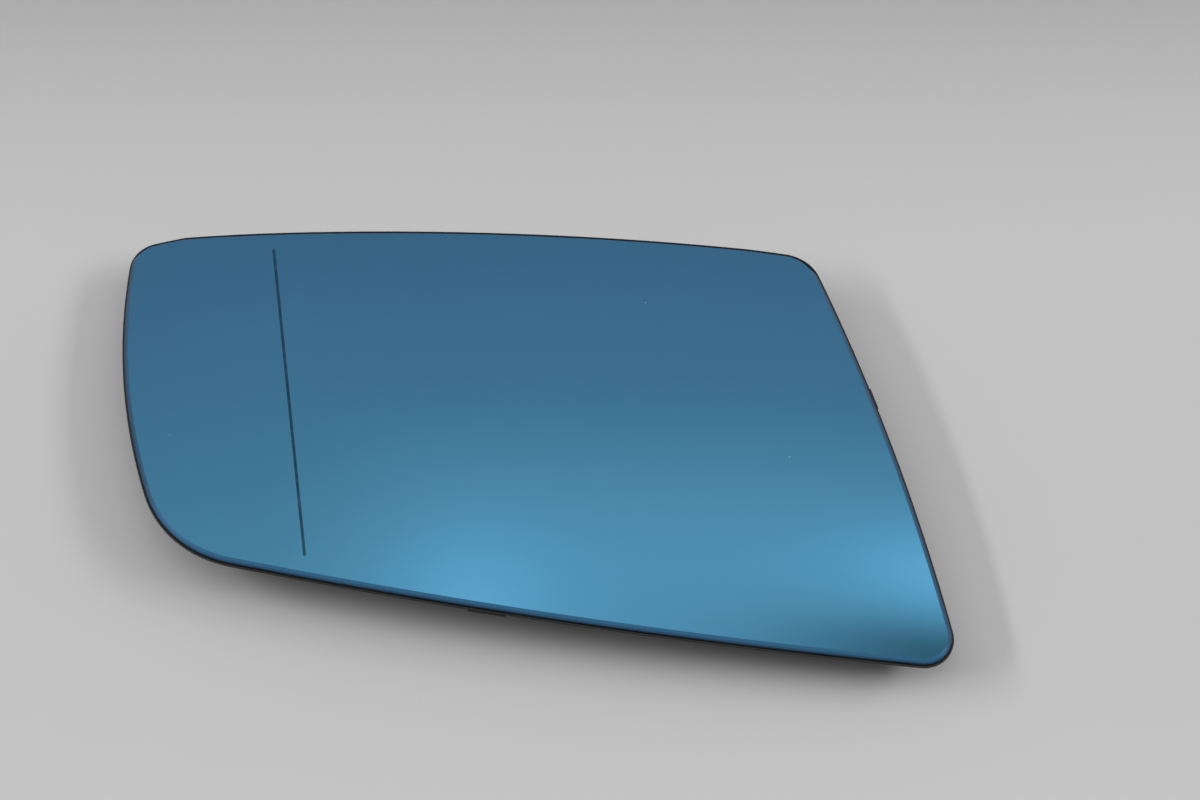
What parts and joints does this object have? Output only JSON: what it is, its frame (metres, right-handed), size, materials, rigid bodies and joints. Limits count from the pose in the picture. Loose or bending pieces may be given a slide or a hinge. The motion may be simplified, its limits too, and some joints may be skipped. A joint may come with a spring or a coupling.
{
  "type": "car door mirror glass",
  "caption": "Convex blue-coated door mirror glass with an aspheric outer zone, a bonded heater pad and a snap-fit carrier plate.",
  "frame": {"origin": "middle of the object's box, in the plane of the collar's foot, on the snap collar's axis", "axes": "+X along the glass towards the car, +Y towards the top edge, +Z out of the glass face"},
  "size_m": [0.1814, 0.1074, 0.0144],
  "materials": {
    "coated_glass": "blue-tinted mirror coating, polished",
    "clear_adhesive": "clear acrylic transfer adhesive",
    "heater_film": "polyester film",
    "heater_foil": "etched foil",
    "foam_adhesive": "closed-cell foam tape",
    "carrier_plastic": "black moulded plastic, fine grain",
    "terminal_brass": "stamped brass"
  },
  "bodies": {
    "root": {"mirror_glass": "coated_glass", "heater_adhesive": "clear_adhesive", "heater_film": "heater_film", "heater_track": "heater_foil", "carrier_adhesive": "foam_adhesive", "carrier_plate": "carrier_plastic", "terminal_blade_upper": "terminal_brass", "terminal_blade_lower": "terminal_brass", "terminal_rivet_upper": "terminal_brass", "terminal_rivet_lower": "terminal_brass"}
  },
  "joints": []
}
